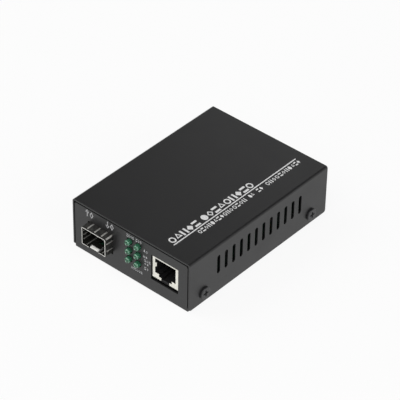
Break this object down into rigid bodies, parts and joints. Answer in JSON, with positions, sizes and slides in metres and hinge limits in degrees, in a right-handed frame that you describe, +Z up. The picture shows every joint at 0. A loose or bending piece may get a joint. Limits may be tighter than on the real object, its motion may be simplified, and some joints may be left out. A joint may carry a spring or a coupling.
{
  "type": "fibre media converter",
  "caption": "Small black steel box that joins a copper network cable to a pluggable fibre module, with vent slots, indicator lamps and a rear power inlet.",
  "frame": {"origin": "centre of the case's flat underside, where it rests", "axes": "+X to the right seen from the front, -Y out of the front panel with the ports, +Z up"},
  "size_m": [0.0722, 0.0996, 0.0274],
  "materials": {
    "case_paint": "satin black powder paint",
    "black_screw": "black oxide",
    "zinc_steel": "zinc plated",
    "board_laminate": "solder mask",
    "cage_metal": "nickel plated, bright",
    "jack_shield_metal": "nickel plated, satin",
    "black_moulding": "moulded, matt",
    "gold_contact": "gold plated",
    "tinned_lead": "tin plated",
    "green_lens": "clear tinted",
    "capacitor_sleeve": "shrink sleeve",
    "ferrite": "sintered",
    "copper_winding": "enamelled wire",
    "resistor_body": "ceramic with glaze",
    "ceramic_capacitor": "sintered ceramic"
  },
  "bodies": {
    "root": {"base_pan": "case_paint", "board_screws": "zinc_steel", "board_standoffs": "zinc_steel", "chip_capacitors": "ceramic_capacitor", "chip_resistors": "resistor_body", "circuit_board": "board_laminate", "cover_screws": "black_screw", "crystal_can": "zinc_steel", "crystal_leads": "tinned_lead", "diode": "black_moulding", "diode_leads": "tinned_lead", "fibre_cage": "cage_metal", "fibre_host_connector": "black_moulding", "fibre_host_contacts": "gold_contact", "fibre_spring_collar": "cage_metal", "inductor_core": "ferrite", "inductor_winding": "copper_winding", "inlet_centre_pin": "tinned_lead", "inlet_housing": "black_moulding", "inlet_pin_terminal": "tinned_lead", "inlet_sleeve_spring": "tinned_lead", "inlet_switch_terminal": "tinned_lead", "input_capacitor": "capacitor_sleeve", "input_capacitor_leads": "tinned_lead", "jack_contacts": "gold_contact", "jack_housing": "black_moulding", "jack_shield": "jack_shield_metal", "lamp_leads_left_low": "tinned_lead", "lamp_leads_left_mid": "tinned_lead", "lamp_leads_left_top": "tinned_lead", "lamp_leads_right_low": "tinned_lead", "lamp_leads_right_mid": "tinned_lead", "lamp_leads_right_top": "tinned_lead", "lamp_left_low": "green_lens", "lamp_left_mid": "green_lens", "lamp_left_top": "green_lens", "lamp_right_low": "green_lens", "lamp_right_mid": "green_lens", "lamp_right_top": "green_lens", "memory": "black_moulding", "memory_leads": "tinned_lead", "output_capacitor": "capacitor_sleeve", "output_capacitor_leads": "tinned_lead", "processor": "black_moulding", "processor_leads": "tinned_lead", "regulator": "black_moulding", "regulator_leads": "tinned_lead", "top_cover": "case_paint", "transformer": "black_moulding", "transformer_leads": "tinned_lead"}
  },
  "joints": []
}
